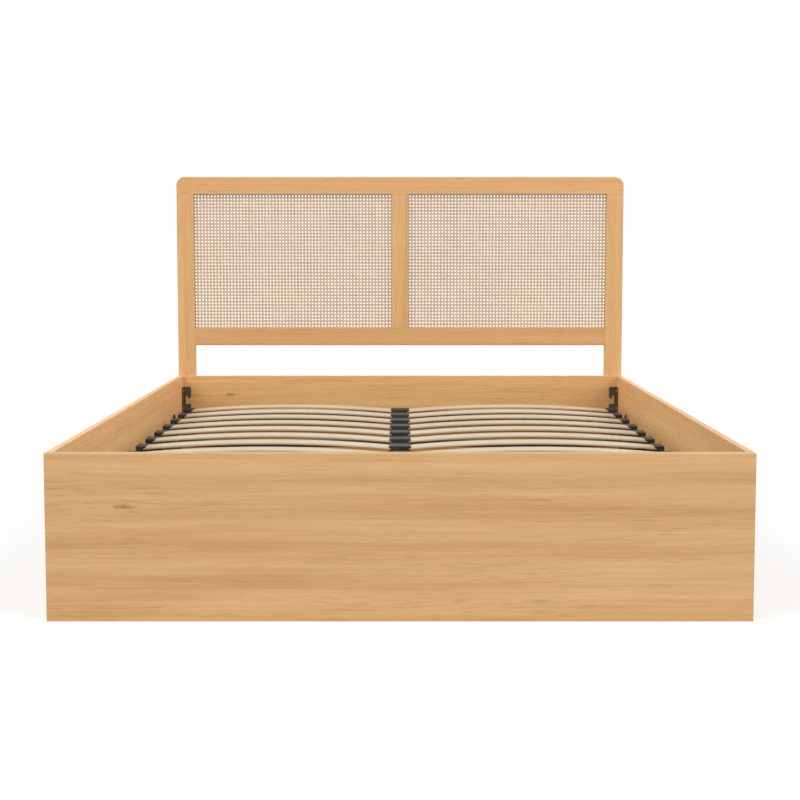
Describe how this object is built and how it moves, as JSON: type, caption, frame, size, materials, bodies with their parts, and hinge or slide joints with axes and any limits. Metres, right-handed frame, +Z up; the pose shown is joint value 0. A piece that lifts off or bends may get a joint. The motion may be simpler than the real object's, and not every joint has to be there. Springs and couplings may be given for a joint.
{
  "type": "storage bed",
  "caption": "Double bed with a cane headboard, a panelled storage box and a sprung slat platform that lifts at the foot on gas struts.",
  "frame": {"origin": "on the floor under the middle of the bed", "axes": "+X to the right seen from the foot, +Y from the foot panel to the headboard, +Z up"},
  "size_m": [1.46, 2.094, 1],
  "materials": {
    "panel_oak": "satin",
    "headboard_oak": "satin",
    "cane": "matte",
    "bracket_steel": "satin",
    "zinc": "satin",
    "black_steel": "satin",
    "black_plastic": "matte",
    "slat_birch": "satin",
    "rubber": "matte",
    "strut_black": "gloss",
    "strut_zinc": "satin",
    "chrome_rod": "polished",
    "webbing": "matte",
    "pine": "matte",
    "floor_hardboard": "matte"
  },
  "bodies": {
    "bed_frame": {"bearer_pads": "rubber", "bracket_screws": "zinc", "cane_beads": "headboard_oak", "cane_panel_left": "cane", "cane_panel_right": "cane", "corner_bracket_foot_left": "bracket_steel", "corner_bracket_foot_right": "bracket_steel", "corner_bracket_head_left": "bracket_steel", "corner_bracket_head_right": "bracket_steel", "floor_battens": "pine", "floor_board_left": "floor_hardboard", "floor_board_right": "floor_hardboard", "foot_bearer": "pine", "foot_panel": "panel_oak", "head_panel": "panel_oak", "headboard_bolts": "zinc", "headboard_centre_stile": "headboard_oak", "headboard_lower_rail": "headboard_oak", "headboard_post_left": "headboard_oak", "headboard_post_right": "headboard_oak", "headboard_top_rail": "headboard_oak", "hinge_plate_left": "black_steel", "hinge_plate_right": "black_steel", "hinge_screws": "zinc", "hook_pins": "zinc", "pivot_nuts": "zinc", "pivot_pins": "zinc", "rest_brackets": "black_steel", "rest_pads": "rubber", "rest_screws": "zinc", "side_panel_left": "panel_oak", "side_panel_right": "panel_oak", "strut_lower_clips": "zinc", "strut_lower_pins": "zinc"},
    "platform": {"centre_caps": "black_plastic", "mattress_bar": "black_steel", "pivot_sleeves": "black_steel", "platform_centre_bar": "black_steel", "platform_cross_tubes": "black_steel", "platform_foot_tube": "black_steel", "platform_head_tube": "black_steel", "platform_rail_left": "black_steel", "platform_rail_right": "black_steel", "pull_strap": "webbing", "side_caps_left": "black_plastic", "side_caps_right": "black_plastic", "slats_left": "slat_birch", "slats_right": "slat_birch", "strut_stud_plates": "black_steel", "strut_upper_clips": "zinc", "tube_plugs": "black_plastic"},
    "cylinder_left": {"strut_eye_left": "strut_zinc", "strut_cylinder_left": "strut_black"},
    "rod_left": {"strut_rod_left": "chrome_rod", "rod_fitting_left": "strut_zinc"},
    "cylinder_right": {"strut_eye_right": "strut_zinc", "strut_cylinder_right": "strut_black"},
    "rod_right": {"strut_rod_right": "chrome_rod", "rod_fitting_right": "strut_zinc"}
  },
  "joints": [
    {"name": "platform_lift", "type": "hinge", "parent": "bed_frame", "child": "platform", "pos_m": [0, 0.771, 0.2185], "axis": [-1, 0, 0], "range_deg": [0, 38]},
    {"name": "strut_swing_left", "type": "hinge", "parent": "bed_frame", "child": "cylinder_left", "pos_m": [-0.684, 0.719, 0.0635], "axis": [-1, 0, 0], "range_deg": [0, 28.62]},
    {"name": "strut_slide_left", "type": "slide", "parent": "cylinder_left", "child": "rod_left", "axis": [0, -0.8187, 0.5742], "range_m": [0, 0.0946]},
    {"name": "strut_swing_right", "type": "hinge", "parent": "bed_frame", "child": "cylinder_right", "pos_m": [0.684, 0.719, 0.0635], "axis": [-1, 0, 0], "range_deg": [0, 28.62]},
    {"name": "strut_slide_right", "type": "slide", "parent": "cylinder_right", "child": "rod_right", "axis": [0, -0.8187, 0.5742], "range_m": [0, 0.0946]}
  ],
  "couplings": [
    {"joint": "strut_swing_left", "follows": "platform_lift", "ratio": 0.7518},
    {"joint": "strut_slide_left", "follows": "platform_lift", "m_per_rad": 0.14235},
    {"joint": "strut_swing_right", "follows": "platform_lift", "ratio": 0.7518},
    {"joint": "strut_slide_right", "follows": "platform_lift", "m_per_rad": 0.14235}
  ]
}
